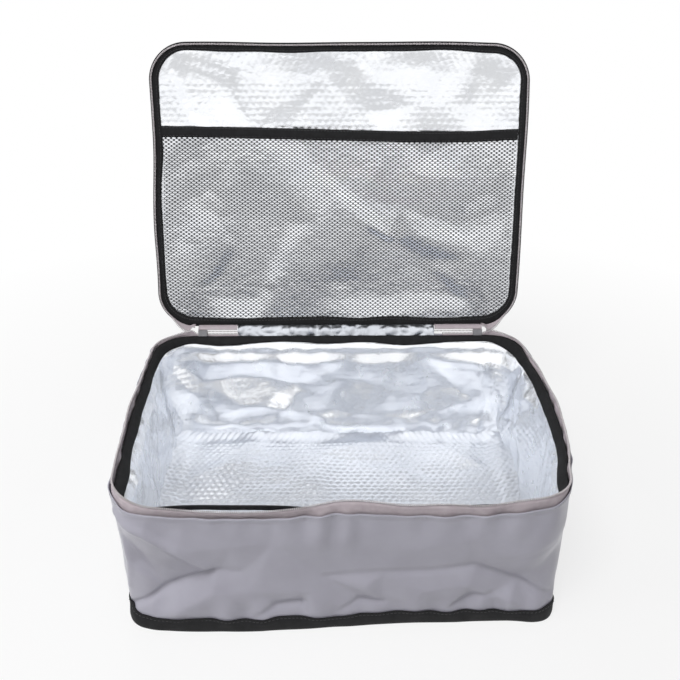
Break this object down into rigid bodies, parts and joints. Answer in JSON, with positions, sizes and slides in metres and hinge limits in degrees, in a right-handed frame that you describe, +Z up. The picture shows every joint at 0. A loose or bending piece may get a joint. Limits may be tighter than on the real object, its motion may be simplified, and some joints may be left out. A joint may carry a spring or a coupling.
{
  "type": "insulated cooler bag",
  "caption": "Soft insulated cooler bag: a flat rectangular tub with a foil lining and a zipped, padded lid that folds open about its back edge and holds a mesh pocket inside.",
  "frame": {"origin": "middle of the base's underside, on the floor", "axes": "+X along the bag's length, -Y out of its front, +Z up"},
  "size_m": [0.4126, 0.4058, 0.4607],
  "materials": {
    "outer_fabric": "coated plain weave, slightly shiny",
    "foam": "closed-cell foam sheet",
    "foil": "embossed foil laminate",
    "black_tape": "woven binding tape",
    "zip_tape": "woven zip tape",
    "zip_coil": "moulded coil",
    "black_net": "knitted net",
    "webbing": "woven webbing",
    "grey_metal": "satin paint"
  },
  "bodies": {
    "tub": {"body_wall_fabric": "outer_fabric", "wall_insulation": "foam", "wall_liner": "foil", "base_fabric": "outer_fabric", "base_insulation": "foam", "floor_liner": "foil", "base_binding": "black_tape", "rim_binding": "black_tape", "lower_zip_tape": "zip_tape", "lower_zip_coil": "zip_coil", "closed_zip_left": "zip_coil", "closed_zip_right": "zip_coil", "hinge_panel_lower": "outer_fabric", "hinge_liner_lower": "foil"},
    "lid": {"lid_fabric": "outer_fabric", "lid_insulation": "foam", "lid_liner": "foil", "lid_binding": "black_tape", "upper_zip_tape": "zip_tape", "upper_zip_coil": "zip_coil", "hinge_panel_upper": "outer_fabric", "hinge_liner_upper": "foil", "mesh_pocket": "black_net", "pocket_binding": "black_tape", "carry_handle": "webbing"},
    "left_slider": {"slider_left": "grey_metal"},
    "right_slider": {"slider_right": "grey_metal"},
    "left_pull": {"pull_tab_left": "grey_metal"},
    "right_pull": {"pull_tab_right": "grey_metal"}
  },
  "joints": [
    {"name": "lid_hinge", "type": "hinge", "parent": "tub", "child": "lid", "pos_m": [0, 0.1625, 0.144], "axis": [1, 0, 0], "range_deg": [-80.5, 99.5]},
    {"name": "left_slider_run", "type": "slide", "parent": "tub", "child": "left_slider", "axis": [1, 0, 0], "range_m": [0, 0.034]},
    {"name": "right_slider_run", "type": "slide", "parent": "tub", "child": "right_slider", "axis": [-1, 0, 0], "range_m": [0, 0.034]},
    {"name": "left_pull_swing", "type": "hinge", "parent": "left_slider", "child": "left_pull", "pos_m": [-0.16, 0.1621, 0.1425], "axis": [1, 0, 0], "range_deg": [0, 65]},
    {"name": "right_pull_swing", "type": "hinge", "parent": "right_slider", "child": "right_pull", "pos_m": [0.16, 0.1621, 0.1425], "axis": [1, 0, 0], "range_deg": [0, 65]}
  ]
}
